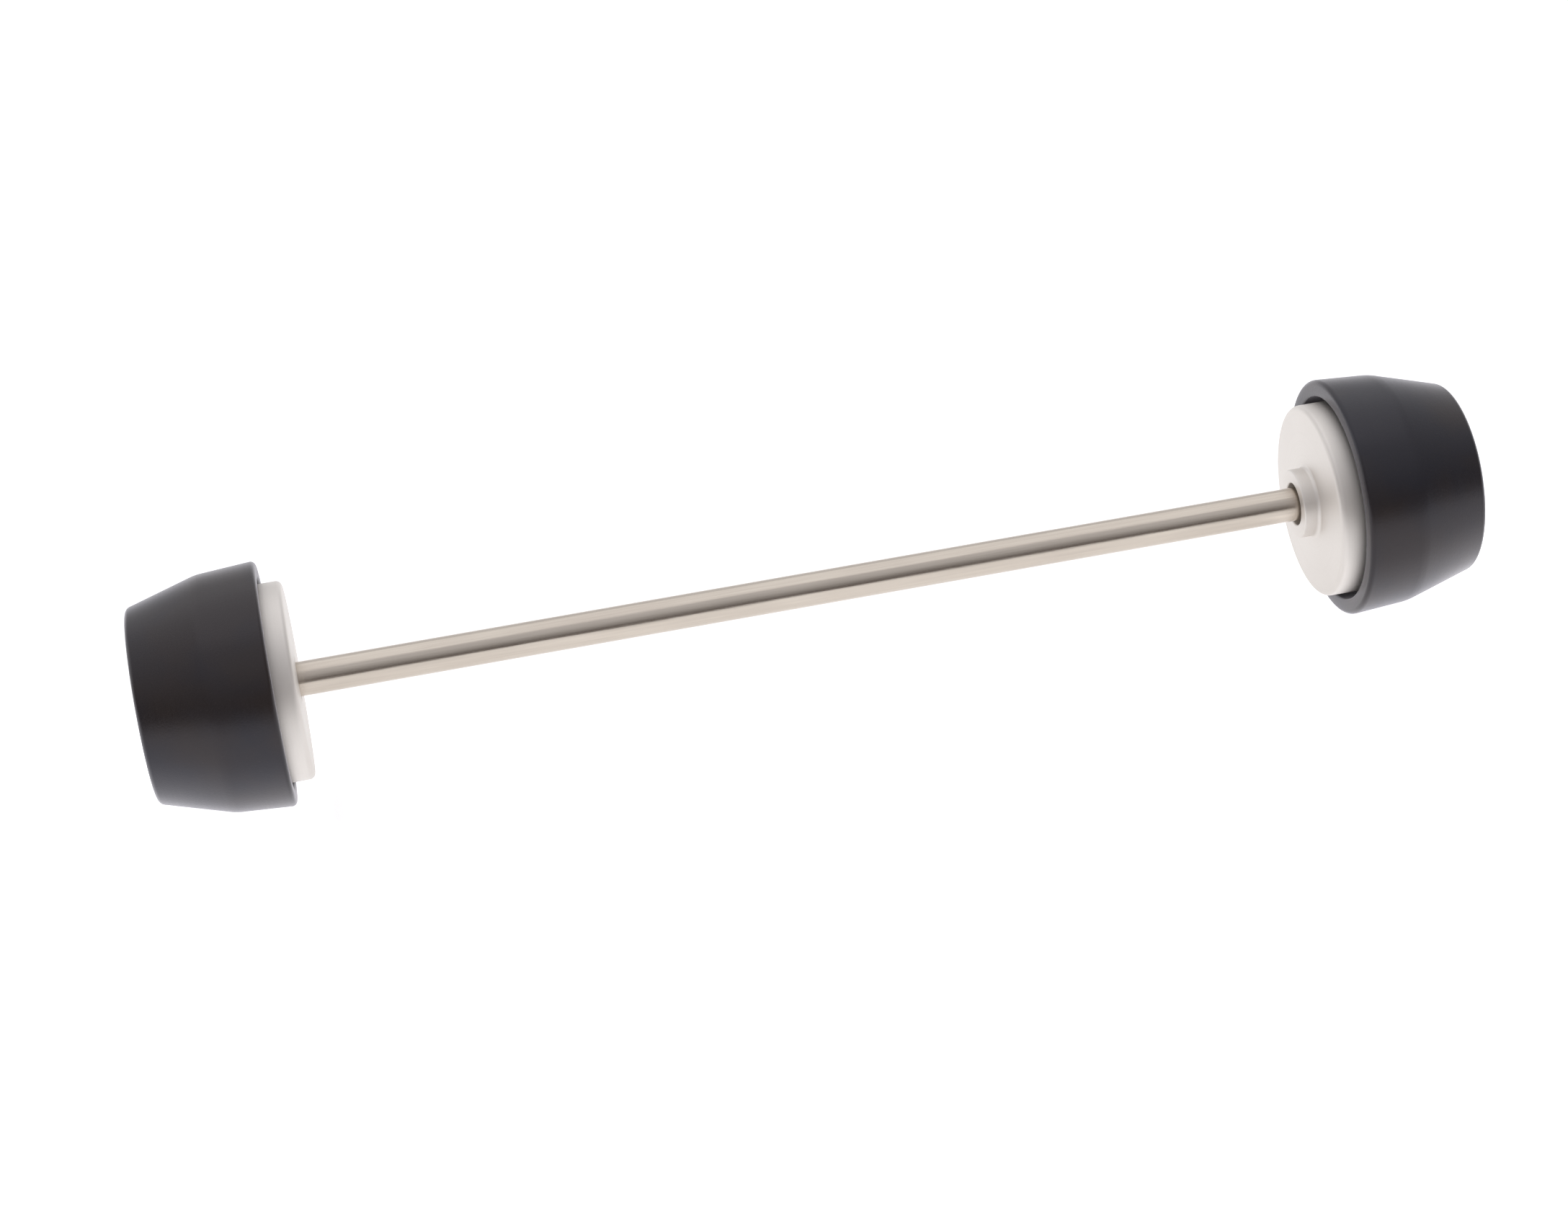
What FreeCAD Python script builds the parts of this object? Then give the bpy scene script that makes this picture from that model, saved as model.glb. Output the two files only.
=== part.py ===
import FreeCAD, Part

import math
import os

# A wheel axle slider kit: a through rod that passes down a hollow wheel spindle, and at each end an
# aluminium hub, a solid nylon bobbin that takes the scrape, a wide washer and a nylon insert lock nut.
# The right hub has a spigot that enters the spindle; the left hub meets the spindle with a flat face.
#
# Frame: the rod lies along X, the origin is at its middle and +Z is up. Each end is drawn in a frame of its
# own where +X points outwards and x = 0 is the hub's flange face. The left end is turned half a turn
# about Z, so that both threads stay right-handed.

V = FreeCAD.Vector

# What the kit spans: the distance between the two flange faces.
SPAN = 214.5

# The hair of air left between two flat faces that meet.
FACE_GAP = 0.1

# The rod. Its threads are rolled, so the plain blank is thinner than the thread's crest.
ROD_DIAMETER = 7.1
THREAD_DIAMETER = 8.0
THREAD_PITCH = 1.25
THREAD_LENGTH = 24.0
THREAD_PAST_NUT = 1.5
ROD_END_CHAMFER = 0.9

# ISO thread form, as shares of the pitch.
CREST_SHARE = 0.125
DEPTH_SHARE = 0.61343
FLANK_ANGLE = 30.0
RUN_OUT_TURNS = 0.8
RIDGE_ROOT_OVERLAP = 0.04

# The hubs. Only the right one has a spigot.
HUB_BORE_CLEARANCE = 0.5
SPIGOT_DIAMETER = 14.6
SPIGOT_HEIGHT = 3.4
SPIGOT_BASE_FILLET = 0.8
FLANGE_DIAMETER = 40.8
FLANGE_THICKNESS = 8.0
FLANGE_FRONT_ROUNDING = 1.2
SLEEVE_DIAMETER = 15.0
SLEEVE_SHORTFALL = 0.2
HUB_EDGE_BREAK = 0.35

# The bobbin: a gently tapered mouth end, a knee, and a steeper taper to the flat outer end.
BOBBIN_LENGTH = 27.0
BOBBIN_LIP_WALL = 3.5
BOBBIN_KNEE_DEPTH = 12.2
BOBBIN_DROP_TO_KNEE = 0.85
BOBBIN_DROP_TO_END = 4.4
BOBBIN_KNEE_RADIUS = 10.0
BOBBIN_MOUTH_ROUNDING = 1.0
BOBBIN_END_ROUNDING = 1.3
BOBBIN_EDGE_BREAK = 0.4
BOBBIN_WEB = 7.4
FLANGE_PROUD = 4.5
FLANGE_SIDE_GAP = 1.3
SLEEVE_CLEARANCE = 0.1
POCKET_SIDE_GAP = 1.5
POCKET_FILLET = 0.8

# The wide washer.
WASHER_DIAMETER = 21.0
WASHER_BORE_CLEARANCE = 0.2
WASHER_THICKNESS = 1.6
WASHER_EDGE_BREAK = 0.2

# The lock nut: a hexagon with a round collar that is rolled over a nylon ring.
NUT_ACROSS_FLATS = 13.0
NUT_HEIGHT = 8.0
NUT_HEX_HEIGHT = 5.6
NUT_CHAMFER_ANGLE = 30.0
NUT_BEARING_SHARE = 0.93
NUT_COLLAR_DIAMETER = 12.2
NUT_COLLAR_ROUNDING = 1.1
NUT_COLLAR_WALL = 0.8
NUT_LIP_THICKNESS = 0.45
NUT_LIP_CLEARANCE = 0.7
NUT_COUNTERSINK = 0.3
THREAD_CREST_CLEARANCE = 0.12
THREAD_ROOT_CLEARANCE = 0.14
THREAD_FLANK_CLEARANCE = 0.07
INSERT_CREST_CLEARANCE = 0.1
INSERT_HOUSING_CLEARANCE = 0.02

# Places along one end's own X, worked out from the sizes above.
MOUTH_X = FLANGE_PROUD
KNEE_X = MOUTH_X + BOBBIN_KNEE_DEPTH
BOBBIN_END_X = MOUTH_X + BOBBIN_LENGTH
SEAT_X = FLANGE_THICKNESS + FACE_GAP
POCKET_FLOOR_X = SEAT_X + BOBBIN_WEB
WASHER_X = POCKET_FLOOR_X + FACE_GAP
NUT_X = WASHER_X + WASHER_THICKNESS + FACE_GAP
ROD_END_X = NUT_X + NUT_HEIGHT + THREAD_PAST_NUT
THREAD_START_X = ROD_END_X - THREAD_LENGTH

# Radii that several pieces share.
THREAD_CREST = THREAD_DIAMETER / 2
THREAD_ROOT = THREAD_CREST - DEPTH_SHARE * THREAD_PITCH
CREST_WIDTH = CREST_SHARE * THREAD_PITCH
HUB_BORE = THREAD_CREST + HUB_BORE_CLEARANCE
MOUTH_RECESS = FLANGE_DIAMETER / 2 + FLANGE_SIDE_GAP
INSERT_POCKET = NUT_COLLAR_DIAMETER / 2 - NUT_COLLAR_WALL

# Where the lock nut's nylon ring lies, along one end's own X.
INSERT_LOW_X = NUT_X + NUT_HEX_HEIGHT
INSERT_HIGH_X = NUT_X + NUT_HEIGHT - NUT_LIP_THICKNESS

# How far a cutting shape reaches past what it trims.
MARGIN = 1.0
AXIS = V(1, 0, 0)
ORIGIN = V(0, 0, 0)


def rounded_wire(corners):
    """A closed wire in the XY plane through (x, y, radius) corners, each rounded by a tangent arc."""
    edges = []
    starts = []
    ends = []
    count = len(corners)
    for index, (x, y, radius) in enumerate(corners):
        here = V(x, y, 0)
        before = V(*corners[index - 1][:2], 0) - here
        after = V(*corners[(index + 1) % count][:2], 0) - here
        before.normalize()
        after.normalize()
        half_corner = before.getAngle(after) / 2
        setback = radius / math.tan(half_corner)
        starts.append(here + before * setback)
        ends.append(here + after * setback)
        if radius > 0:
            bisector = (before + after).normalize()
            middle = here + bisector * (radius / math.sin(half_corner) - radius)
            edges.append(Part.Arc(starts[-1], middle, ends[-1]).toShape())
    for index in range(count):
        start, end = ends[index - 1], starts[index]
        if start.distanceToPoint(end) > 1e-7:
            edges.append(Part.LineSegment(start, end).toShape())
    return Part.Wire(Part.__sortEdges__(edges))


def turned(corners):
    """A solid turned about X from (x, radius, rounding) corners."""
    return Part.Face(rounded_wire(corners)).revolve(ORIGIN, AXIS, 360)


def ring(x_low, x_high, inner, outer, rounding=0.0):
    """A plain ring about X, with its outer edges rounded."""
    return turned([
        (x_low, inner, 0),
        (x_low, outer, rounding),
        (x_high, outer, rounding),
        (x_high, inner, 0),
    ])


def thread_ridge(x_low, x_high, crest_radius, root_radius, crest_width):
    """The helical ridge of a right-hand thread about X, always in step with the rod's own thread."""
    turns_to_start = math.floor((x_low - THREAD_START_X) / THREAD_PITCH) - 1
    start = THREAD_START_X + turns_to_start * THREAD_PITCH
    turns = math.ceil((x_high - start) / THREAD_PITCH) + 1
    slope = math.tan(math.radians(FLANK_ANGLE))
    inside = root_radius - RIDGE_ROOT_OVERLAP
    half_crest = crest_width / 2
    half_base = half_crest + (crest_radius - inside) * slope
    profile = Part.makePolygon([
        V(inside, 0, -half_base),
        V(crest_radius, 0, -half_crest),
        V(crest_radius, 0, half_crest),
        V(inside, 0, half_base),
        V(inside, 0, -half_base),
    ])
    path = []
    for turn in range(turns):
        one_turn = Part.makeHelix(THREAD_PITCH, THREAD_PITCH, root_radius)
        one_turn.translate(V(0, 0, turn * THREAD_PITCH))
        path.extend(one_turn.Edges)
    ridge = Part.Wire(path).makePipeShell([profile], True, True)
    ridge.rotate(ORIGIN, V(0, 1, 0), 90)
    ridge.translate(V(start, 0, 0))
    return ridge


def rod_thread():
    """The ridge on the rod's outer end, cut to the end's chamfer and faded out towards the blank."""
    ridge = thread_ridge(THREAD_START_X, ROD_END_X, THREAD_CREST, THREAD_ROOT, CREST_WIDTH)
    envelope = turned([
        (THREAD_START_X, 0, 0),
        (THREAD_START_X, THREAD_ROOT, 0),
        (THREAD_START_X + RUN_OUT_TURNS * THREAD_PITCH, THREAD_CREST + MARGIN, 0),
        (ROD_END_X - ROD_END_CHAMFER - MARGIN, THREAD_CREST + MARGIN, 0),
        (ROD_END_X, THREAD_CREST - ROD_END_CHAMFER, 0),
        (ROD_END_X, 0, 0),
    ])
    return ridge.common(envelope)


def spindle_rod():
    """The through rod, drawn about the kit's middle, with a rolled thread at each end."""
    end = SPAN / 2 + ROD_END_X
    thread_start = SPAN / 2 + THREAD_START_X
    blank = ROD_DIAMETER / 2
    end_radius = THREAD_CREST - ROD_END_CHAMFER
    half = [
        (thread_start - abs(blank - THREAD_ROOT), blank, 0),
        (thread_start, THREAD_ROOT, 0),
        (end - (THREAD_ROOT - end_radius), THREAD_ROOT, 0),
        (end, end_radius, 0),
        (end, 0, 0),
    ]
    other_half = [(-x, radius, rounding) for x, radius, rounding in reversed(half)]
    core = turned(other_half + half)
    return core.fuse(at_right(rod_thread())).fuse(at_left(rod_thread()))


def hub_outside():
    """A hub's corners from the flange's front edge round to the sleeve's inner end."""
    flange = FLANGE_DIAMETER / 2
    sleeve = SLEEVE_DIAMETER / 2
    sleeve_end = WASHER_X - SLEEVE_SHORTFALL
    return [
        (0, flange, FLANGE_FRONT_ROUNDING),
        (FLANGE_THICKNESS, flange, HUB_EDGE_BREAK),
        (FLANGE_THICKNESS, sleeve, 0),
        (sleeve_end, sleeve, HUB_EDGE_BREAK),
        (sleeve_end, HUB_BORE, HUB_EDGE_BREAK),
    ]


def flat_hub():
    """The left aluminium hub: a flange with a flat face, and the sleeve that the bobbin turns on."""
    return turned([(0, HUB_BORE, HUB_EDGE_BREAK)] + hub_outside())


def spigot_hub():
    """The right aluminium hub, with a spigot on its flange's face."""
    spigot = SPIGOT_DIAMETER / 2
    return turned([
        (-SPIGOT_HEIGHT, HUB_BORE, HUB_EDGE_BREAK),
        (-SPIGOT_HEIGHT, spigot, HUB_EDGE_BREAK),
        (0, spigot, SPIGOT_BASE_FILLET),
    ] + hub_outside())


def bobbin():
    """The solid nylon bobbin: the flange sits in its mouth, and the nut is sunk in its outer end."""
    mouth = MOUTH_RECESS + BOBBIN_LIP_WALL
    knee = mouth - BOBBIN_DROP_TO_KNEE
    end = knee - BOBBIN_DROP_TO_END
    bore = SLEEVE_DIAMETER / 2 + SLEEVE_CLEARANCE
    pocket = WASHER_DIAMETER / 2 + POCKET_SIDE_GAP
    return turned([
        (MOUTH_X, MOUTH_RECESS, BOBBIN_EDGE_BREAK),
        (MOUTH_X, mouth, BOBBIN_MOUTH_ROUNDING),
        (KNEE_X, knee, BOBBIN_KNEE_RADIUS),
        (BOBBIN_END_X, end, BOBBIN_END_ROUNDING),
        (BOBBIN_END_X, pocket, POCKET_FILLET),
        (POCKET_FLOOR_X, pocket, POCKET_FILLET),
        (POCKET_FLOOR_X, bore, BOBBIN_EDGE_BREAK),
        (SEAT_X, bore, BOBBIN_EDGE_BREAK),
        (SEAT_X, MOUTH_RECESS, 0),
    ])


def washer():
    """The wide washer under the nut."""
    bore = THREAD_CREST + WASHER_BORE_CLEARANCE
    return ring(WASHER_X, WASHER_X + WASHER_THICKNESS, bore, WASHER_DIAMETER / 2, WASHER_EDGE_BREAK)


def lock_nut_outside():
    """The lock nut's outside: a hexagon chamfered at both ends, and its collar."""
    flat = NUT_ACROSS_FLATS / 2
    corner = flat / math.cos(math.radians(30))
    bearing = flat * NUT_BEARING_SHARE
    collar = NUT_COLLAR_DIAMETER / 2
    slope = math.tan(math.radians(NUT_CHAMFER_ANGLE))
    top = NUT_X + NUT_HEIGHT
    corners = []
    for index in range(7):
        angle = math.radians(60 * index)
        corners.append(V(NUT_X, corner * math.cos(angle), corner * math.sin(angle)))
    hexagon = Part.Face(Part.makePolygon(corners)).extrude(V(NUT_HEIGHT, 0, 0))
    envelope = turned([
        (NUT_X, 0, 0),
        (NUT_X, bearing, 0),
        (NUT_X + (corner - bearing) * slope, corner, 0),
        (INSERT_LOW_X - (corner - bearing) * slope, corner, 0),
        (INSERT_LOW_X + (bearing - collar) * slope, collar, 0),
        (top, collar, NUT_COLLAR_ROUNDING),
        (top, 0, 0),
    ])
    return hexagon.common(envelope)


def lock_nut():
    """The lock nut's steel body, with its thread and the pocket for its nylon ring."""
    minor = THREAD_ROOT + THREAD_ROOT_CLEARANCE
    mouth = THREAD_CREST + NUT_COUNTERSINK
    lip = THREAD_CREST + NUT_LIP_CLEARANCE
    top = NUT_X + NUT_HEIGHT
    hollow = turned([
        (NUT_X, 0, 0),
        (NUT_X, mouth, 0),
        (NUT_X + (mouth - minor), minor, 0),
        (INSERT_LOW_X - (mouth - minor), minor, 0),
        (INSERT_LOW_X, mouth, 0),
        (INSERT_LOW_X, INSERT_POCKET, 0),
        (INSERT_HIGH_X, INSERT_POCKET, 0),
        (INSERT_HIGH_X, lip, 0),
        (top, lip, 0),
        (top, 0, 0),
    ])
    crest = THREAD_CREST + THREAD_CREST_CLEARANCE
    ridge = thread_ridge(NUT_X, INSERT_LOW_X, crest, minor, CREST_WIDTH + 2 * THREAD_FLANK_CLEARANCE)
    reach = turned([
        (NUT_X, 0, 0),
        (NUT_X, crest + MARGIN, 0),
        (INSERT_LOW_X, crest + MARGIN, 0),
        (INSERT_LOW_X, 0, 0),
    ])
    return lock_nut_outside().cut(hollow).cut(ridge.common(reach))


def nut_insert():
    """The nylon locking ring held in the nut's collar."""
    clearance = INSERT_HOUSING_CLEARANCE
    bore = THREAD_CREST + INSERT_CREST_CLEARANCE
    return ring(INSERT_LOW_X + clearance, INSERT_HIGH_X - clearance, bore, INSERT_POCKET - clearance)


def at_right(shape):
    """One end's shape, moved to the right end of the kit."""
    moved = shape.copy()
    moved.translate(V(SPAN / 2, 0, 0))
    return moved


def at_left(shape):
    """One end's shape, moved to the right end and then turned half a turn about Z, to the left end."""
    moved = at_right(shape)
    moved.rotate(ORIGIN, V(0, 0, 1), 180)
    return moved


def export(name, shape):
    """Writes one node, and stops if it isn't one sound solid."""
    solids = shape.Solids
    if len(solids) != 1 or not solids[0].isValid() or solids[0].Volume <= 0:
        raise ValueError(f"{name} is not one sound solid")
    solids[0].exportStep(f"parts/{name}.step")
    print(f"{name}: {solids[0].Volume:.1f} mm3")


def main():
    os.makedirs("parts", exist_ok=True)
    export("spindle_rod", spindle_rod())
    export("left_hub", at_left(flat_hub()))
    export("right_hub", at_right(spigot_hub()))
    for name, make in (
        ("bobbin", bobbin),
        ("washer", washer),
        ("lock_nut", lock_nut),
        ("nut_insert", nut_insert),
    ):
        shape = make()
        export(f"left_{name}", at_left(shape))
        export(f"right_{name}", at_right(shape))


main()
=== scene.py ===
"""The looks of a wheel axle slider kit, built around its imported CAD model.

Each turned piece is drawn in its end's own frame, where +X points outwards, and then moved to its end.
All lengths are in metres.
"""

import logging
import math
from dataclasses import dataclass, field
from enum import Enum
from typing import Any, Optional, Union

import bmesh
import bpy
from mathutils import Matrix, Quaternion, Vector

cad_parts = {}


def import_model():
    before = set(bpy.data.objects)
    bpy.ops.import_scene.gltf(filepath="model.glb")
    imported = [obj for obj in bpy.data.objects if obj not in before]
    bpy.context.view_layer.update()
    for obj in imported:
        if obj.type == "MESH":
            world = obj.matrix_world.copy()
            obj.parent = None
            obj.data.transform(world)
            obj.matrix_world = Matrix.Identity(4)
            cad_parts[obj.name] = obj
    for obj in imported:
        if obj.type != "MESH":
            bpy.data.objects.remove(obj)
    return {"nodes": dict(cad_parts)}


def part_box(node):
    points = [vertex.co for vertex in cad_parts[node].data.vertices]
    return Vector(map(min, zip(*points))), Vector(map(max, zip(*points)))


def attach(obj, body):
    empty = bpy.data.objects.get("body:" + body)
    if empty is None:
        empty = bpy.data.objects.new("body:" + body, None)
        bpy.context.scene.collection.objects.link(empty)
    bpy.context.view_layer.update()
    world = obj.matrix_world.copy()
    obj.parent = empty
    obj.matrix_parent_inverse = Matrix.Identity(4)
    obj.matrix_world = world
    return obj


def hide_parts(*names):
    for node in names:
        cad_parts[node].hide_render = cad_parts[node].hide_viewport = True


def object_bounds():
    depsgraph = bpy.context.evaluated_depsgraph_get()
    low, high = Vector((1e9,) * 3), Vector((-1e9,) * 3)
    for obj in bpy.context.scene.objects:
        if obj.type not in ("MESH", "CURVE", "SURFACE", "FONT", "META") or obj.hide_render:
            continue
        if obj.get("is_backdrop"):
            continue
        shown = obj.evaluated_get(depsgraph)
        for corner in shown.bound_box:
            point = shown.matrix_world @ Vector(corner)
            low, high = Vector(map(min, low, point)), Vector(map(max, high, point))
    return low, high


LOG = logging.getLogger("axle_slider")
MM = 0.001
NYLON_IOR = 1.53
Colour = tuple[float, float, float]
Stops = tuple[tuple[float, float], ...]


class End(Enum):
    LEFT = -1
    RIGHT = 1

    @property
    def label(self) -> str:
        """The word that this end's names start with."""
        return self.name.lower()

    @property
    def placing(self) -> Matrix:
        """The turn that takes a shape drawn for the right end to this end."""
        return Matrix.Identity(4) if self is End.RIGHT else Matrix.Rotation(math.pi, 4, "Z")

    def outward(self, node: str) -> tuple[float, float]:
        """How far out a CAD node starts and stops.

        Args:
            node: The node's name without the end's label.
        """
        low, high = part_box(f"{self.label}_{node}")
        return (low.x, high.x) if self is End.RIGHT else (-high.x, -low.x)


class Signal:
    """A shader socket that takes part in arithmetic."""

    def __init__(self, graph: "Graph", socket: bpy.types.NodeSocket) -> None:
        """Holds a socket and the graph that it belongs to."""
        self.graph = graph
        self.socket = socket

    def __add__(self, other: "Value") -> "Signal":
        """The sum."""
        return self.graph.math("ADD", self, other)

    def __sub__(self, other: "Value") -> "Signal":
        """The difference."""
        return self.graph.math("SUBTRACT", self, other)

    def __rsub__(self, other: "Value") -> "Signal":
        """The difference, with the number first."""
        return self.graph.math("SUBTRACT", other, self)

    def __mul__(self, other: "Value") -> "Signal":
        """The product."""
        return self.graph.math("MULTIPLY", self, other)

    __radd__ = __add__
    __rmul__ = __mul__


Value = Union[Signal, float, Colour]


class Graph:
    """The nodes of one material or of the world."""

    def __init__(self, tree: bpy.types.NodeTree) -> None:
        """Empties the tree of one material or of the world."""
        self.tree = tree
        tree.nodes.clear()

    def add(self, kind: str, settings: Optional[dict[str, Any]] = None,
            inputs: Optional[dict[Union[str, int], Value]] = None) -> bpy.types.Node:
        """Makes one node.

        Args:
            kind: The node's type name, without the words "ShaderNode".
            settings: What the node is set to; "stops" fills a colour ramp.
            inputs: The value or the link of each input, by name or by number.

        Returns:
            The node.
        """
        node = self.tree.nodes.new(f"ShaderNode{kind}")
        for name, setting in (settings or {}).items():
            if name == "stops":
                self._fill_ramp(node.color_ramp, setting)
            else:
                setattr(node, name, setting)
        for name, value in (inputs or {}).items():
            if isinstance(value, Signal):
                self.tree.links.new(value.socket, node.inputs[name])
            else:
                node.inputs[name].default_value = value
        return node

    @staticmethod
    def _fill_ramp(ramp: bpy.types.ColorRamp, stops: Stops) -> None:
        """Gives a colour ramp its grey stops.

        Args:
            ramp: The ramp of a new node.
            stops: The place and the grey of each stop.
        """
        while len(ramp.elements) < len(stops):
            ramp.elements.new(1.0)
        for element, (place, grey) in zip(ramp.elements, stops):
            element.position = place
            element.color = (grey, grey, grey, 1.0)

    def out(self, node: bpy.types.Node, name: Union[str, int] = 0) -> Signal:
        """One of a node's outputs, as a signal."""
        return Signal(self, node.outputs[name])

    def math(self, operation: str, first: Value, second: Value = 0.0) -> Signal:
        """Arithmetic on one or two numbers."""
        return self.out(self.add("Math", {"operation": operation}, {0: first, 1: second}))

    def mix(self, amount: Value, first: Value, second: Value) -> Signal:
        """A colour between two colours.

        Args:
            amount: 0 for the first colour, 1 for the second.
            first: A colour.
            second: Another colour.

        Returns:
            The mixed colour.
        """
        colours = [value if isinstance(value, Signal) else (*value, 1.0) for value in (first, second)]
        node = self.add("Mix", {"data_type": "RGBA"}, {0: amount, 6: colours[0], 7: colours[1]})
        return self.out(node, 2)

    def ramp(self, signal: Signal, stops: Stops) -> Signal:
        """A number reshaped by the stops of a grey ramp."""
        return self.out(self.add("ValToRGB", {"stops": stops}, {"Fac": signal}))

    def fade(self, signal: Signal, none: float, full: float) -> Signal:
        """A number eased from 0 to 1 as a signal goes from one value to another.

        Args:
            signal: What it follows.
            none: The signal's value where it is 0.
            full: The signal's value where it is 1.

        Returns:
            The eased number.
        """
        inputs = {"Value": signal, "From Min": none, "From Max": full}
        return self.out(self.add("MapRange", {"interpolation_type": "SMOOTHSTEP"}, inputs))

    def noise(self, vector: Signal, scale: float, detail: float = 2.0, roughness: float = 0.5) -> Signal:
        """Smooth noise.

        Args:
            vector: Where it is read.
            scale: How many features fit in one unit of the vector.
            detail: How many finer layers it has.
            roughness: How strong the finer layers are.

        Returns:
            A number near 0.5.
        """
        inputs = {"Vector": vector, "Scale": scale, "Detail": detail, "Roughness": roughness}
        return self.out(self.add("TexNoise", {}, inputs), "Fac")


class TurnedPlace:
    """Where a point lies on a piece that was turned about X."""

    def __init__(self, graph: Graph) -> None:
        """Reads the object's own coordinates.

        Args:
            graph: The nodes of the material.
        """
        self.graph = graph
        self.point = graph.out(graph.add("TexCoord"), "Object")
        parts = graph.add("SeparateXYZ", {}, {0: self.point})
        self.along = graph.out(parts, "X")
        self.radius = graph.out(graph.add("VectorMath", {"operation": "LENGTH"},
                                          {0: self._without_along(parts)}), "Value")

    def _without_along(self, parts: bpy.types.Node) -> Signal:
        """The point's offset from the axis."""
        across = {axis: self.graph.out(parts, axis) for axis in "YZ"}
        return self.graph.out(self.graph.add("CombineXYZ", {}, across))

    def profile(self) -> Signal:
        """A vector that changes along the turned profile only, so that noise on it makes rings."""
        return self.graph.out(self.graph.add("CombineXYZ", {}, {"X": self.along, "Y": self.radius}))

    def stretched(self, along: float) -> Signal:
        """The point with its place along the axis scaled, so that noise on it makes lengthwise streaks."""
        node = self.graph.add("Mapping", {}, {"Vector": self.point, "Scale": (along, 1.0, 1.0)})
        return self.graph.out(node)


@dataclass(frozen=True)
class Finish:
    """A material of one kind of surface."""

    name: str
    slot: str

    def material(self) -> bpy.types.Material:
        """Makes the material, or gives back the one already made.

        Returns:
            The material.
        """
        found = bpy.data.materials.get(self.name)
        if found:
            return found
        material = bpy.data.materials.new(self.name)
        material.use_nodes = True
        graph = Graph(material.node_tree)
        shader = self.shader(graph, TurnedPlace(graph))
        graph.add("OutputMaterial", {}, {"Surface": graph.out(shader)})
        return material

    def shader(self, graph: Graph, place: TurnedPlace) -> bpy.types.Node:
        """Makes the finish's own nodes.

        Args:
            graph: The material's nodes.
            place: Where the shaded point lies.

        Returns:
            The shader node.
        """
        raise NotImplementedError

    @staticmethod
    def bump(graph: Graph, height: Signal, depth: float, strength: float = 1.0) -> Signal:
        """A normal bent by a height.

        Args:
            graph: The material's nodes.
            height: The surface's height, from 0 to 1.
            depth: How deep a height of 1 is, in metres.
            strength: How much of it shows.

        Returns:
            The normal.
        """
        inputs = {"Height": height, "Distance": depth, "Strength": strength}
        return graph.out(graph.add("Bump", {}, inputs))


@dataclass(frozen=True)
class BlackNylon(Finish):
    """Matt black nylon, with a fine grain, faint turning rings and warm and cool clouds in the black."""

    name: str = "black_nylon"
    slot: str = "nylon_black"
    black: Colour = (0.0090, 0.0080, 0.0100)
    warm: Colour = (0.022, 0.013, 0.008)
    cool: Colour = (0.0065, 0.0070, 0.0135)
    speck: Colour = (0.060, 0.045, 0.036)
    clouds_per_m: float = 45.0
    grains_per_m: float = 2600.0
    fine_grains_per_m: float = 7000.0
    rings_per_m: float = 1500.0
    cloud_stops: Stops = ((0.40, 0.0), (0.60, 1.0))
    speck_stops: Stops = ((0.66, 0.0), (0.74, 1.0))
    tint_share: float = 0.6
    speck_share: float = 0.35
    base_roughness: float = 0.25
    relief: float = 0.06 * MM

    def shader(self, graph: Graph, place: TurnedPlace) -> bpy.types.Node:
        """Black with clouds and specks, rough with rings and grain.

        Args:
            graph: The material's nodes.
            place: Where the shaded point lies.

        Returns:
            The shader node.
        """
        clouds = graph.noise(place.point, self.clouds_per_m, 3.0)
        grain = graph.noise(place.point, self.grains_per_m, 3.0, 0.6)
        fine = graph.noise(place.point, self.fine_grains_per_m, 1.0)
        rings = graph.noise(place.profile(), self.rings_per_m, 3.0, 0.7)
        tint = graph.mix(graph.ramp(clouds, self.cloud_stops), self.cool, self.warm)
        base = graph.mix(self.tint_share, self.black, tint)
        specks = graph.ramp(grain, self.speck_stops)
        colour = graph.mix(specks * self.speck_share, base, self.speck)
        roughness = self.base_roughness + 0.12 * grain + 0.08 * rings - 0.05 * clouds
        height = 0.55 * grain + 0.25 * fine + 0.20 * rings
        return graph.add("BsdfPrincipled", {}, {
            "Base Color": colour,
            "Roughness": roughness,
            "IOR": NYLON_IOR,
            "Sheen Weight": 0.55,
            "Sheen Roughness": 0.30,
            "Sheen Tint": (0.93, 0.90, 1.0, 1.0),
            "Specular Tint": (0.95, 0.92, 1.0, 1.0),
            "Normal": self.bump(graph, height, self.relief, 0.55),
        })


@dataclass(frozen=True)
class SatinAluminium(Finish):
    """Pale satin aluminium, turned, with faint rings and a soft blasted grain."""

    name: str = "satin_aluminium"
    slot: str = "hub_aluminium"
    pale: Colour = (0.825, 0.79, 0.755)
    deep: Colour = (0.725, 0.685, 0.65)
    clouds_per_m: float = 60.0
    grains_per_m: float = 4200.0
    rings_per_m: float = 2300.0
    metallic: float = 0.88
    base_roughness: float = 0.40
    relief: float = 0.03 * MM

    def shader(self, graph: Graph, place: TurnedPlace) -> bpy.types.Node:
        """Pale metal with rings and grain.

        Args:
            graph: The material's nodes.
            place: Where the shaded point lies.

        Returns:
            The shader node.
        """
        clouds = graph.noise(place.point, self.clouds_per_m, 3.0)
        grain = graph.noise(place.point, self.grains_per_m, 2.0, 0.6)
        rings = graph.noise(place.profile(), self.rings_per_m, 3.0, 0.75)
        colour = graph.mix(0.5 * clouds + 0.3 * rings + 0.2 * grain, self.pale, self.deep)
        roughness = self.base_roughness + 0.12 * grain + 0.10 * rings
        height = 0.5 * rings + 0.5 * grain
        return graph.add("BsdfPrincipled", {}, {
            "Base Color": colour,
            "Metallic": self.metallic,
            "Roughness": roughness,
            "Normal": self.bump(graph, height, self.relief, 0.5),
        })


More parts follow.
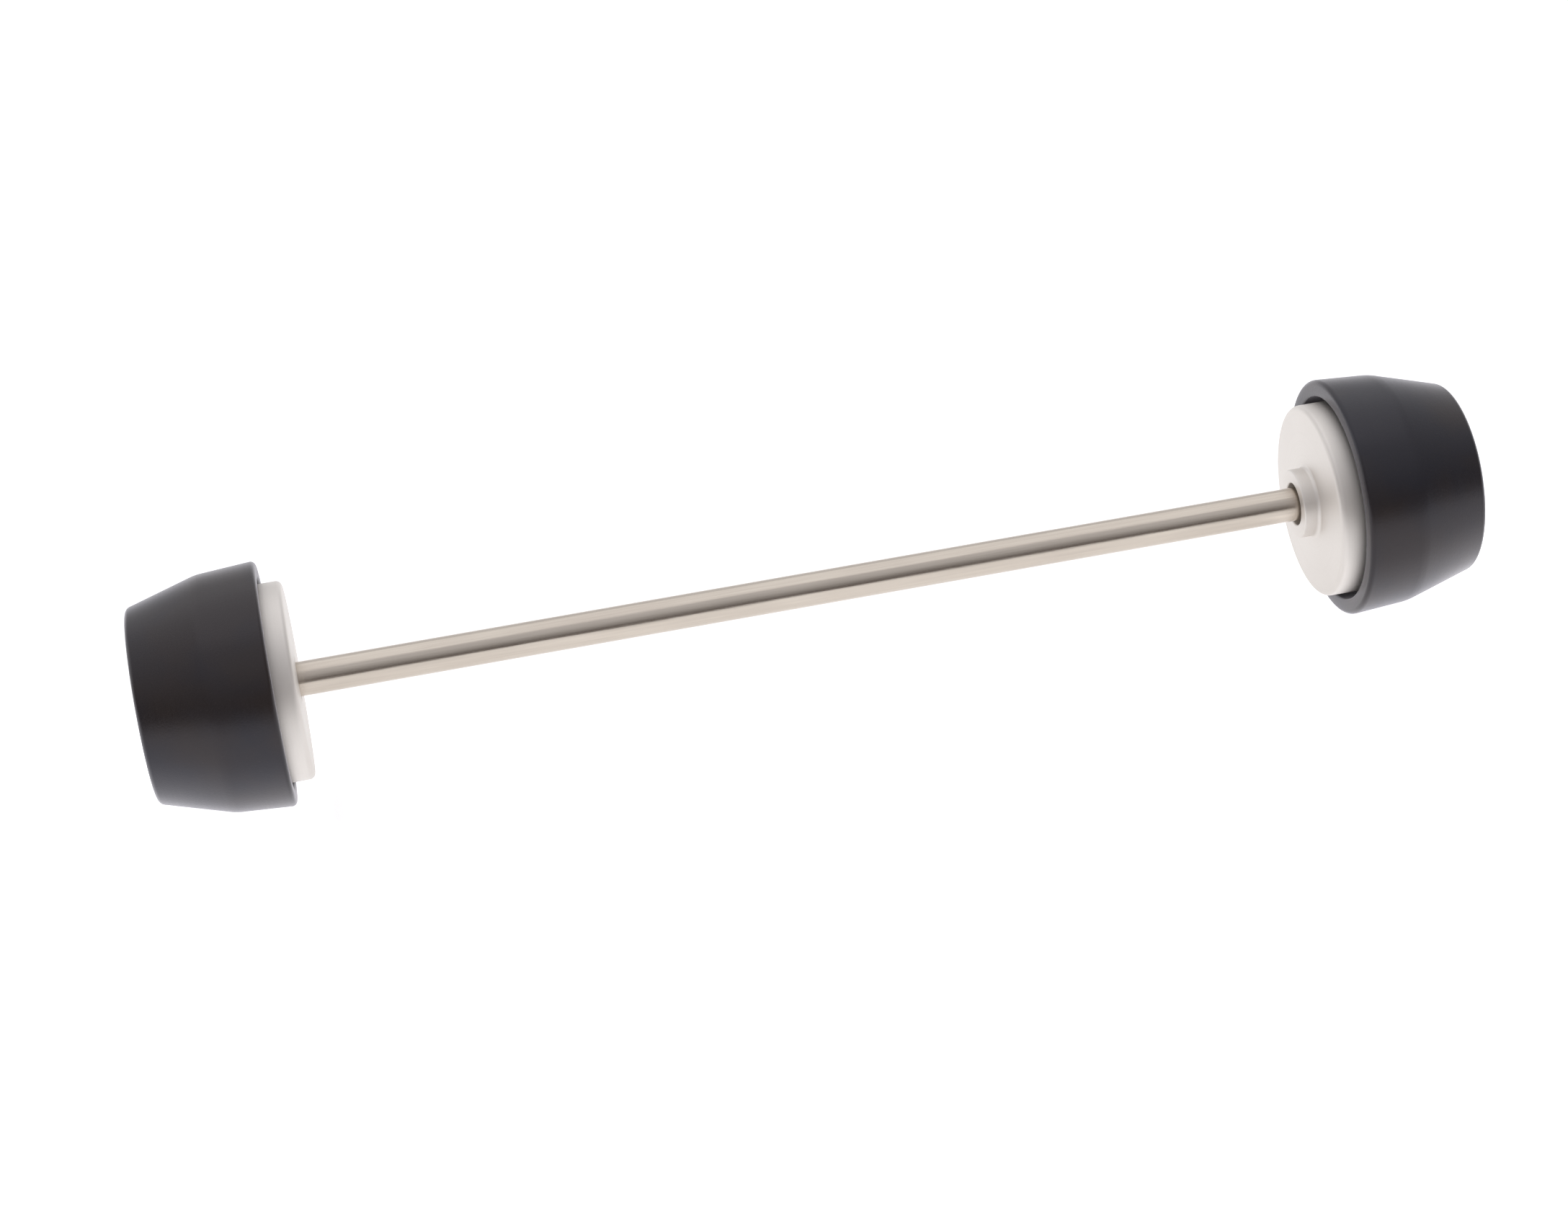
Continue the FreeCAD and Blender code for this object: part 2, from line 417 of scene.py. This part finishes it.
@dataclass(frozen=True)
class DrawnSteel(Finish):
    """Warm stainless steel, drawn lengthwise, with streaks, small pits and painted shade that darkens the
    thread roots.
    """

    name: str = "drawn_steel"
    slot: str = "rod_steel"
    bright: Colour = (0.72, 0.655, 0.575)
    dull: Colour = (0.48, 0.42, 0.365)
    # painted shade: the dark colour mixed into the thread roots
    root: Colour = (0.22, 0.20, 0.185)
    root_radius: float = 3.36 * MM
    flank_radius: float = 3.80 * MM
    plain_half_length: float = 108.0 * MM
    painted_root_shade_share: float = 0.7
    streaks_per_m: float = 2400.0
    streak_stretch: float = 0.02
    smears_per_m: float = 320.0
    smear_stretch: float = 0.15
    pits_per_m: float = 2600.0
    base_roughness: float = 0.13
    relief: float = 0.03 * MM

    def shader(self, graph: Graph, place: TurnedPlace) -> bpy.types.Node:
        """Warm steel with lengthwise streaks.

        Args:
            graph: The material's nodes.
            place: Where the shaded point lies.

        Returns:
            The shader node.
        """
        streaks = graph.noise(place.stretched(self.streak_stretch), self.streaks_per_m, 3.0, 0.65)
        smears = graph.noise(place.stretched(self.smear_stretch), self.smears_per_m, 3.0)
        pits = graph.noise(place.point, self.pits_per_m, 2.0)
        metal = graph.mix(0.55 * streaks + 0.45 * smears, self.bright, self.dull)
        # painted shade: the colour darkens towards the thread roots, on the threaded ends only
        depth = graph.fade(place.radius, self.flank_radius, self.root_radius)
        threaded = graph.math("GREATER_THAN", graph.math("ABSOLUTE", place.along), self.plain_half_length)
        colour = graph.mix(depth * threaded * self.painted_root_shade_share, metal, self.root)
        roughness = self.base_roughness + 0.12 * streaks + 0.07 * smears
        height = 0.75 * streaks + 0.25 * pits
        return graph.add("BsdfPrincipled", {}, {
            "Base Color": colour,
            "Metallic": 1.0,
            "Roughness": roughness,
            "Normal": self.bump(graph, height, self.relief, 0.6),
        })


@dataclass(frozen=True)
class PlainSteel(Finish):
    """Plain stainless steel of washers and nuts, with a cold-formed grain and fine scuffs."""

    name: str = "plain_steel"
    slot: str = "fastener_steel"
    bright: Colour = (0.70, 0.69, 0.67)
    dull: Colour = (0.50, 0.49, 0.48)
    clouds_per_m: float = 220.0
    scuffs_per_m: float = 1400.0
    scuff_squeeze: float = 6.0
    scuff_stops: Stops = ((0.45, 0.0), (0.62, 1.0))
    rings_per_m: float = 3000.0
    base_roughness: float = 0.26
    relief: float = 0.03 * MM

    def shader(self, graph: Graph, place: TurnedPlace) -> bpy.types.Node:
        """Grey steel with scuffs.

        Args:
            graph: The material's nodes.
            place: Where the shaded point lies.

        Returns:
            The shader node.
        """
        clouds = graph.noise(place.point, self.clouds_per_m, 4.0)
        scratches = graph.noise(place.stretched(self.scuff_squeeze), self.scuffs_per_m, 4.0, 0.7)
        scuffs = graph.ramp(scratches, self.scuff_stops)
        rings = graph.noise(place.profile(), self.rings_per_m, 2.0)
        colour = graph.mix(0.6 * clouds + 0.4 * scuffs, self.bright, self.dull)
        roughness = self.base_roughness + 0.14 * clouds + 0.14 * scuffs
        height = 0.4 * scuffs + 0.3 * rings + 0.3 * clouds
        return graph.add("BsdfPrincipled", {}, {
            "Base Color": colour,
            "Metallic": 1.0,
            "Roughness": roughness,
            "Normal": self.bump(graph, height, self.relief, 0.5),
        })


@dataclass(frozen=True)
class NaturalNylon(Finish):
    """The milky white nylon of a lock nut's ring, a little cloudy."""

    name: str = "natural_nylon"
    slot: str = "insert_nylon"
    milky: Colour = (0.78, 0.79, 0.78)
    cloudy: Colour = (0.66, 0.67, 0.66)
    clouds_per_m: float = 500.0
    rings_per_m: float = 4000.0
    base_roughness: float = 0.34
    scatter_depth: float = 1.0 * MM
    relief: float = 0.03 * MM

    def shader(self, graph: Graph, place: TurnedPlace) -> bpy.types.Node:
        """Milky white with clouds.

        Args:
            graph: The material's nodes.
            place: Where the shaded point lies.

        Returns:
            The shader node.
        """
        clouds = graph.noise(place.point, self.clouds_per_m, 3.0)
        rings = graph.noise(place.profile(), self.rings_per_m, 2.0)
        return graph.add("BsdfPrincipled", {}, {
            "Base Color": graph.mix(clouds, self.milky, self.cloudy),
            "Roughness": self.base_roughness + 0.18 * clouds,
            "IOR": NYLON_IOR,
            "Subsurface Weight": 0.25,
            "Subsurface Scale": self.scatter_depth,
            "Normal": self.bump(graph, rings, self.relief, 0.4),
        })


@dataclass(frozen=True)
class Corner:
    """A corner of a turned profile: its place along the axis, its radius and how it is rounded."""

    x: float
    radius: float
    rounding: float = 0.0
    segments: int = 4


class Profile(Enum):
    """How a turned profile ends."""

    CLOSED = "closed"
    TO_AXIS = "to_axis"


class TurnedShape:
    """A mesh turned about X from a profile of corners."""

    MERGE_DISTANCE = 0.0005 * MM

    def __init__(self, corners: list[Corner], ends: Profile, steps: int) -> None:
        """Keeps the profile.

        Args:
            corners: The profile's corners, in order.
            ends: Whether the profile closes on itself or ends on the axis.
            steps: How many steps make a full turn.
        """
        self.corners = corners
        self.ends = ends
        self.steps = steps

    def build(self) -> bmesh.types.BMesh:
        """Draws the profile, rounds its corners and spins it.

        Returns:
            A closed mesh.
        """
        shape = bmesh.new()
        points = [shape.verts.new((corner.x, corner.radius, 0.0)) for corner in self.corners]
        for first, second in zip(points, points[1:]):
            shape.edges.new((first, second))
        if self.ends is Profile.CLOSED:
            shape.edges.new((points[-1], points[0]))
        for index, corner in enumerate(self.corners):
            if corner.rounding > 0.0:
                self._round(shape, points[index], self._setback(index), corner.segments)
        bmesh.ops.spin(
            shape, geom=shape.verts[:] + shape.edges[:], cent=(0.0, 0.0, 0.0), axis=(1.0, 0.0, 0.0),
            angle=2.0 * math.pi, steps=self.steps, use_merge=True, use_duplicate=False)
        bmesh.ops.remove_doubles(shape, verts=shape.verts[:], dist=self.MERGE_DISTANCE)
        bmesh.ops.recalc_face_normals(shape, faces=shape.faces[:])
        return shape

    def _setback(self, index: int) -> float:
        """How far from a corner its rounding starts, for a tangent arc of the corner's own radius.

        Args:
            index: Which corner.

        Returns:
            The distance along either side.
        """
        here, before, after = (Vector((corner.x, corner.radius)) for corner in (
            self.corners[index], self.corners[index - 1], self.corners[(index + 1) % len(self.corners)]))
        half_angle = (before - here).angle(after - here) / 2.0
        return self.corners[index].rounding / math.tan(half_angle)

    @staticmethod
    def _round(shape: bmesh.types.BMesh, point: bmesh.types.BMVert, setback: float, segments: int) -> None:
        """Rounds one corner of the profile's wire.

        Args:
            shape: The wire.
            point: The corner.
            setback: How far from the corner the rounding starts.
            segments: How many edges the arc gets.
        """
        bmesh.ops.bevel(
            shape, geom=[point], offset=setback, offset_type="OFFSET", segments=segments,
            profile=0.5, affect="VERTICES", material=-1, clamp_overlap=False)


class Piece:
    """A finished Blender object made from a bmesh."""

    SHARP = math.radians(35.0)

    @classmethod
    def make(cls, name: str, shape: bmesh.types.BMesh, placing: Matrix, finish: Finish,
             body: str, node: str) -> bpy.types.Object:
        """Turns a shape into an object that stands for a CAD node.

        Args:
            name: The object's name.
            shape: The mesh being built, which is used up.
            placing: Where the shape goes.
            finish: What it is made of.
            body: The CAD body that it moves with.
            node: The CAD node that it stands for.

        Returns:
            The object.
        """
        bmesh.ops.transform(shape, matrix=placing, verts=shape.verts[:])
        for face in shape.faces:
            face.smooth = True
        mesh = bpy.data.meshes.new(name)
        shape.to_mesh(mesh)
        shape.free()
        mesh.set_sharp_from_angle(angle=cls.SHARP)
        mesh.materials.append(finish.material())
        piece = bpy.data.objects.new(name, mesh)
        bpy.context.scene.collection.objects.link(piece)
        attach(piece, body)
        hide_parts(node)
        LOG.info("%s: %d faces, stands for %s", name, len(mesh.polygons), node)
        return piece


@dataclass
class RolledThread:
    """The helical ridge of a right-hand thread, whose base is sunk into the rod's core."""

    crest: float = 4.0 * MM
    root: float = 3.2332 * MM
    pitch: float = 1.25 * MM
    crest_width: float = 0.15625 * MM
    flank_angle: float = math.radians(30.0)
    sunk: float = 0.04 * MM
    run_out: float = 1.0 * MM
    spare_turns: int = 2
    steps: int = 60

    @property
    def base(self) -> float:
        """The radius of the ridge's buried base."""
        return self.root - self.sunk

    def build(self, start: float, end: float, end_radius: float) -> bmesh.types.BMesh:
        """Spins one turn's section up the rod.

        Args:
            start: Where the thread starts, along the end's own axis.
            end: Where the rod ends.
            end_radius: The rod's radius at its end face.

        Returns:
            A closed mesh, with both ends of the ridge buried in the core.
        """
        turns = math.ceil((end - start) / self.pitch) + self.spare_turns
        shape = bmesh.new()
        self._draw_section(shape, start - self.pitch)
        bmesh.ops.spin(
            shape, geom=shape.verts[:] + shape.edges[:], cent=(0.0, 0.0, 0.0), axis=(1.0, 0.0, 0.0),
            dvec=(self.pitch / self.steps, 0.0, 0.0), angle=2.0 * math.pi * turns,
            steps=turns * self.steps, use_merge=False, use_duplicate=False)
        self._trim(shape, start, (-1.0, 0.0, 0.0))
        self._trim(shape, end - (self.base - end_radius), (1.0, 0.0, 0.0))
        bmesh.ops.holes_fill(shape, edges=[edge for edge in shape.edges if edge.is_boundary], sides=0)
        self._run_out(shape, start, end, end_radius)
        bmesh.ops.recalc_face_normals(shape, faces=shape.faces[:])
        return shape

    def _draw_section(self, shape: bmesh.types.BMesh, middle: float) -> None:
        """Draws the ridge's section as a closed wire.

        Args:
            shape: The empty mesh that takes it.
            middle: Where the section's middle lies along the axis.
        """
        half_crest = self.crest_width / 2.0
        half_base = half_crest + (self.crest - self.base) * math.tan(self.flank_angle)
        section = [
            (-half_base, self.base), (-half_crest, self.crest),
            (half_crest, self.crest), (half_base, self.base),
        ]
        points = [shape.verts.new((middle + along, 0.0, -radius)) for along, radius in section]
        for index, point in enumerate(points):
            shape.edges.new((points[index - 1], point))

    def _run_out(self, shape: bmesh.types.BMesh, start: float, end: float, end_radius: float) -> None:
        """Lowers the ridge where the thread fades in and where the rod's end is chamfered.

        Args:
            shape: The ridge.
            start: Where the thread starts.
            end: Where the rod ends.
            end_radius: The rod's radius at its end face.
        """
        for vert in shape.verts:
            radius = math.hypot(vert.co.y, vert.co.z)
            fade = self.root + (vert.co.x - start) * (self.crest - self.root) / self.run_out
            limit = max(min(fade, end_radius + (end - vert.co.x)), self.base)
            if radius > limit:
                vert.co.y *= limit / radius
                vert.co.z *= limit / radius

    @staticmethod
    def _trim(shape: bmesh.types.BMesh, x: float, outwards: tuple[float, float, float]) -> None:
        """Cuts off what lies past a plane across the axis.

        Args:
            shape: What is cut.
            x: Where the plane lies.
            outwards: The direction of what is cut off.
        """
        bmesh.ops.bisect_plane(
            shape, geom=shape.verts[:] + shape.edges[:] + shape.faces[:], dist=0.0001 * MM,
            plane_co=(x, 0.0, 0.0), plane_no=outwards, clear_outer=True)


@dataclass
class SpindleRod:
    """The through rod: a drawn blank with a rolled thread at each end."""

    blank_radius: float = 3.55 * MM
    end_chamfer: float = 0.9 * MM
    thread_length: float = 24.0 * MM
    thread: RolledThread = field(default_factory=RolledThread)
    finish: Finish = field(default_factory=DrawnSteel)
    steps: int = 96

    def build(self) -> None:
        """Makes the rod as one piece: its core, with both ridges joined on."""
        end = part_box("spindle_rod")[1].x
        thread_start = end - self.thread_length
        end_radius = self.thread.crest - self.end_chamfer
        half = [
            Corner(thread_start - (self.blank_radius - self.thread.root), self.blank_radius),
            Corner(thread_start, self.thread.root),
            Corner(end - (self.thread.root - end_radius), self.thread.root),
            Corner(end, end_radius),
            Corner(end, 0.0),
        ]
        other_half = [Corner(-corner.x, corner.radius) for corner in reversed(half)]
        shape = TurnedShape(other_half + half, Profile.TO_AXIS, self.steps).build()
        for side in End:
            ridge = self.thread.build(thread_start, end, end_radius)
            bmesh.ops.transform(ridge, matrix=side.placing, verts=ridge.verts[:])
            self._join(shape, ridge)
        Piece.make("rod_and_threads", shape, Matrix.Identity(4), self.finish, "rod", "spindle_rod")

    @staticmethod
    def _join(shape: bmesh.types.BMesh, other: bmesh.types.BMesh) -> None:
        """Adds another shape to this one.

        Args:
            shape: What grows.
            other: What is added, which is used up.
        """
        carrier = bpy.data.meshes.new("carrier")
        other.to_mesh(carrier)
        other.free()
        shape.from_mesh(carrier)
        bpy.data.meshes.remove(carrier)


@dataclass
class Hub:
    """An aluminium hub: a flange, the sleeve that the bobbin turns on and, on the right, a spigot."""

    bore: float = 4.5 * MM
    length_behind_face: float = 15.4 * MM
    spigot: float = 7.3 * MM
    spigot_height: float = 3.4 * MM
    spigot_fillet: float = 0.8 * MM
    flange: float = 20.4 * MM
    flange_thickness: float = 8.0 * MM
    flange_rounding: float = 1.2 * MM
    sleeve: float = 7.5 * MM
    edge_break: float = 0.35 * MM
    finish: Finish = field(default_factory=SatinAluminium)
    steps: int = 192

    def build(self, side: End) -> None:
        """Makes one end's hub.

        Args:
            side: Which end.
        """
        sleeve_end = side.outward("hub")[1]
        face = sleeve_end - self.length_behind_face
        back = face + self.flange_thickness
        front = [Corner(face, self.bore, self.edge_break)]
        if side is End.RIGHT:
            tip = face - self.spigot_height
            front = [
                Corner(tip, self.bore, self.edge_break),
                Corner(tip, self.spigot, self.edge_break),
                Corner(face, self.spigot, self.spigot_fillet, 6),
            ]
        corners = front + [
            Corner(face, self.flange, self.flange_rounding, 8),
            Corner(back, self.flange, self.edge_break),
            Corner(back, self.sleeve),
            Corner(sleeve_end, self.sleeve, self.edge_break),
            Corner(sleeve_end, self.bore, self.edge_break),
        ]
        shape = TurnedShape(corners, Profile.CLOSED, self.steps).build()
        name = f"{side.label}_hub"
        Piece.make(f"{name}_turned", shape, side.placing, self.finish, name, name)


@dataclass
class Bobbin:
    """The nylon bobbin: its mouth takes the flange, and its outer pocket takes the nut."""

    recess: float = 21.7 * MM
    recess_depth: float = 3.6 * MM
    lip_wall: float = 3.5 * MM
    drop_to_knee: float = 0.85 * MM
    drop_to_end: float = 4.4 * MM
    knee_depth: float = 12.2 * MM
    knee_radius: float = 10.0 * MM
    mouth_rounding: float = 1.0 * MM
    end_rounding: float = 1.3 * MM
    edge_break: float = 0.4 * MM
    web: float = 7.4 * MM
    bore: float = 7.6 * MM
    pocket: float = 12.0 * MM
    pocket_fillet: float = 0.8 * MM
    finish: Finish = field(default_factory=BlackNylon)
    steps: int = 224

    def build(self, side: End) -> None:
        """Makes one end's bobbin.

        Args:
            side: Which end.
        """
        mouth_x, end_x = side.outward("bobbin")
        seat_x = mouth_x + self.recess_depth
        floor_x = seat_x + self.web
        mouth = self.recess + self.lip_wall
        knee = mouth - self.drop_to_knee
        end = knee - self.drop_to_end
        corners = [
            Corner(mouth_x, self.recess, self.edge_break),
            Corner(mouth_x, mouth, self.mouth_rounding, 8),
            Corner(mouth_x + self.knee_depth, knee, self.knee_radius, 12),
            Corner(end_x, end, self.end_rounding, 10),
            Corner(end_x, self.pocket, self.pocket_fillet, 6),
            Corner(floor_x, self.pocket, self.pocket_fillet, 6),
            Corner(floor_x, self.bore, self.edge_break),
            Corner(seat_x, self.bore, self.edge_break),
            Corner(seat_x, self.recess),
        ]
        shape = TurnedShape(corners, Profile.CLOSED, self.steps).build()
        name = f"{side.label}_bobbin"
        Piece.make(f"{name}_moulded", shape, side.placing, self.finish, name, name)


@dataclass
class Fasteners:
    """What holds an end on: a wide washer, a lock nut's body and its nylon ring."""

    washer_bore: float = 4.2 * MM
    washer_radius: float = 10.5 * MM
    washer_edge: float = 0.2 * MM
    ring_bore: float = 4.1 * MM
    ring_radius: float = 5.28 * MM
    steel: Finish = field(default_factory=PlainSteel)
    nylon: Finish = field(default_factory=NaturalNylon)
    steps: int = 96

    def build(self, side: End, nodes: dict[str, bpy.types.Object]) -> None:
        """Makes one end's washer and nylon ring, and finishes the CAD nut.

        Args:
            side: Which end.
            nodes: The CAD nodes, by name.
        """
        self._ring(side, "washer", f"{side.label}_washer", self.washer_bore, self.washer_radius,
                   self.washer_edge, self.steel)
        self._ring(side, "nut_insert", f"{side.label}_nut", self.ring_bore, self.ring_radius,
                   0.0, self.nylon)
        nut = nodes[f"{side.label}_lock_nut"]
        nut.material_slots[0].material = self.steel.material()
        LOG.info("%s: CAD node kept, with its finish", nut.name)

    def _ring(self, side: End, node: str, body: str, bore: float, radius: float,
              edge: float, finish: Finish) -> None:
        """Makes a plain ring in the place of a CAD node.

        Args:
            side: Which end.
            node: The CAD node's name without the end's label.
            body: The CAD body that the ring moves with.
            bore: The ring's inner radius.
            radius: The ring's outer radius.
            edge: How far its edges are rounded.
            finish: What it is made of.
        """
        low, high = side.outward(node)
        corners = [Corner(low, bore, edge), Corner(low, radius, edge), Corner(high, radius, edge),
                   Corner(high, bore, edge)]
        shape = TurnedShape(corners, Profile.CLOSED, self.steps).build()
        name = f"{side.label}_{node}"
        Piece.make(f"{name}_ring", shape, side.placing, finish, body, name)


@dataclass(frozen=True)
class PaleFloor(Finish):
    """The studio's pale floor, which glows evenly and has a painted glow patch under the bobbins."""

    name: str = "pale_floor"
    slot: str = ""
    pale: Colour = (0.86, 0.86, 0.865)
    deep: Colour = (0.84, 0.84, 0.845)
    # painted light: the brighter emission colour of a glow patch under the bobbins; it is no lamp
    lamp: Colour = (1.8, 1.8, 1.85)
    glow: float = 0.62
    glow_patch_edge: float = 0.02
    glow_patch_fade: float = 0.052
    glow_patch_from: float = 0.104
    glow_patch_full: float = 0.114
    clouds_per_m: float = 3.0

    def shader(self, graph: Graph, place: TurnedPlace) -> bpy.types.Node:
        """Nearly even white, glowing from below, with a painted glow patch that makes the floor brighter
        under the bobbins.

        Args:
            graph: The material's nodes.
            place: Where the shaded point lies.

        Returns:
            The shader node.
        """
        parts = graph.add("SeparateXYZ", {}, {0: place.point})
        across = graph.math("ABSOLUTE", graph.out(parts, "Y"))
        along = graph.math("ABSOLUTE", graph.out(parts, "X"))
        # painted light: masks that place the brighter glow patch under the bobbins
        near = graph.fade(across, self.glow_patch_fade, self.glow_patch_edge)
        under = graph.fade(along, self.glow_patch_from, self.glow_patch_full)
        return graph.add("BsdfPrincipled", {}, {
            "Base Color": graph.mix(graph.noise(place.point, self.clouds_per_m), self.pale, self.deep),
            "Roughness": 0.8,
            # painted glow: the emission is brighter in the patch under the bobbins
            "Emission Color": graph.mix(near * under, self.pale, self.lamp),
            "Emission Strength": self.glow,
        })


@dataclass
class Softbox:
    name: str
    place: tuple[float, float, float]
    size: float
    power: float
    colour: Colour = (1.0, 1.0, 1.0)

    def build(self, aim: Vector) -> None:
        """Hangs the light.

        Args:
            aim: The point that it faces.
        """
        light = bpy.data.lights.new(self.name, "AREA")
        light.shape = "SQUARE"
        light.size = self.size
        light.energy = self.power
        light.color = self.colour
        lamp = bpy.data.objects.new(self.name, light)
        lamp.location = self.place
        lamp.rotation_euler = (aim - lamp.location).to_track_quat("-Z", "Y").to_euler()
        bpy.context.scene.collection.objects.link(lamp)


@dataclass
class Studio:
    """A pale floor, soft lights and the room's own light."""

    floor_size: float = 12.0
    overhead: Softbox = field(default_factory=lambda: Softbox("overhead", (0.0, 0.5, 1.4), 2.0, 5.0))
    left_fill: Softbox = field(default_factory=lambda: Softbox("left_fill", (-1.6, 0.4, 0.7), 1.0, 1.5))
    zenith: Colour = (0.66, 0.66, 0.68)
    backdrop: Colour = (0.80, 0.80, 0.81)
    room: Colour = (0.085, 0.066, 0.057)
    ceiling_stops: Stops = ((0.12, 0.0), (0.80, 1.0))
    room_ends: float = -0.20
    backdrop_starts: float = 0.45

    def build(self, low: Vector, high: Vector) -> None:
        """Args:
            high: The highest corner.
        """
        self._floor(low.z)
        aim = (low + high) / 2.0
        for light in (self.overhead, self.left_fill):
            light.build(aim)
        self._room()

    def _floor(self, height: float) -> None:
        shape = bmesh.new()
        bmesh.ops.create_grid(shape, x_segments=1, y_segments=1, size=self.floor_size / 2.0)
        bmesh.ops.translate(shape, verts=shape.verts[:], vec=(0.0, 0.0, height))
        mesh = bpy.data.meshes.new("floor")
        shape.to_mesh(mesh)
        shape.free()
        mesh.materials.append(PaleFloor().material())
        floor = bpy.data.objects.new("floor", mesh)
        bpy.context.scene.collection.objects.link(floor)
        floor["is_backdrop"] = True

    def _room(self) -> None:
        world = bpy.data.worlds.new("room")
        bpy.context.scene.world = world
        world.use_nodes = True
        graph = Graph(world.node_tree)
        parts = graph.add("SeparateXYZ", {}, {0: graph.out(graph.add("TexCoord"), "Generated")})
        height = graph.ramp(graph.out(parts, "Z"), self.ceiling_stops)
        behind = graph.fade(graph.out(parts, "Y"), self.room_ends, self.backdrop_starts)
        walls = graph.mix(behind, self.room, self.backdrop)
        colour = graph.mix(height, walls, self.zenith)
        sky = graph.add("Background", {}, {"Color": colour})
        graph.add("OutputWorld", {}, {"Surface": graph.out(sky)})


@dataclass
class Viewpoint:
    aim: tuple[float, float, float] = (-0.007317, -0.002237, -0.003812)
    distance: float = 0.6273
    azimuth: float = math.radians(-8.569)
    elevation: float = math.radians(30.127)
    roll: float = math.radians(-5.707)
    lens: float = 69.62

    def build(self) -> None:
        """Makes the camera the scene's own."""
        back = Vector((
            math.sin(self.azimuth) * math.cos(self.elevation),
            -math.cos(self.azimuth) * math.cos(self.elevation),
            math.sin(self.elevation)))
        data = bpy.data.cameras.new("camera")
        data.lens = self.lens
        camera = bpy.data.objects.new("camera", data)
        camera.rotation_mode = "QUATERNION"
        camera.location = Vector(self.aim) + back * self.distance
        level = (-back).to_track_quat("-Z", "Y")
        camera.rotation_quaternion = level @ Quaternion((0.0, 0.0, 1.0), self.roll)
        bpy.context.scene.collection.objects.link(camera)
        bpy.context.scene.camera = camera


def main() -> None:
    logging.basicConfig(level=logging.INFO, format="%(name)s %(message)s")
    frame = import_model()
    cad_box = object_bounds()
    SpindleRod().build()
    for side in End:
        Hub().build(side)
        Bobbin().build(side)
        Fasteners().build(side, frame["nodes"])
    Studio().build(*cad_box)
    Viewpoint().build()
    bpy.context.scene.view_settings.view_transform = "Standard"


if __name__ == "__main__":
    main()
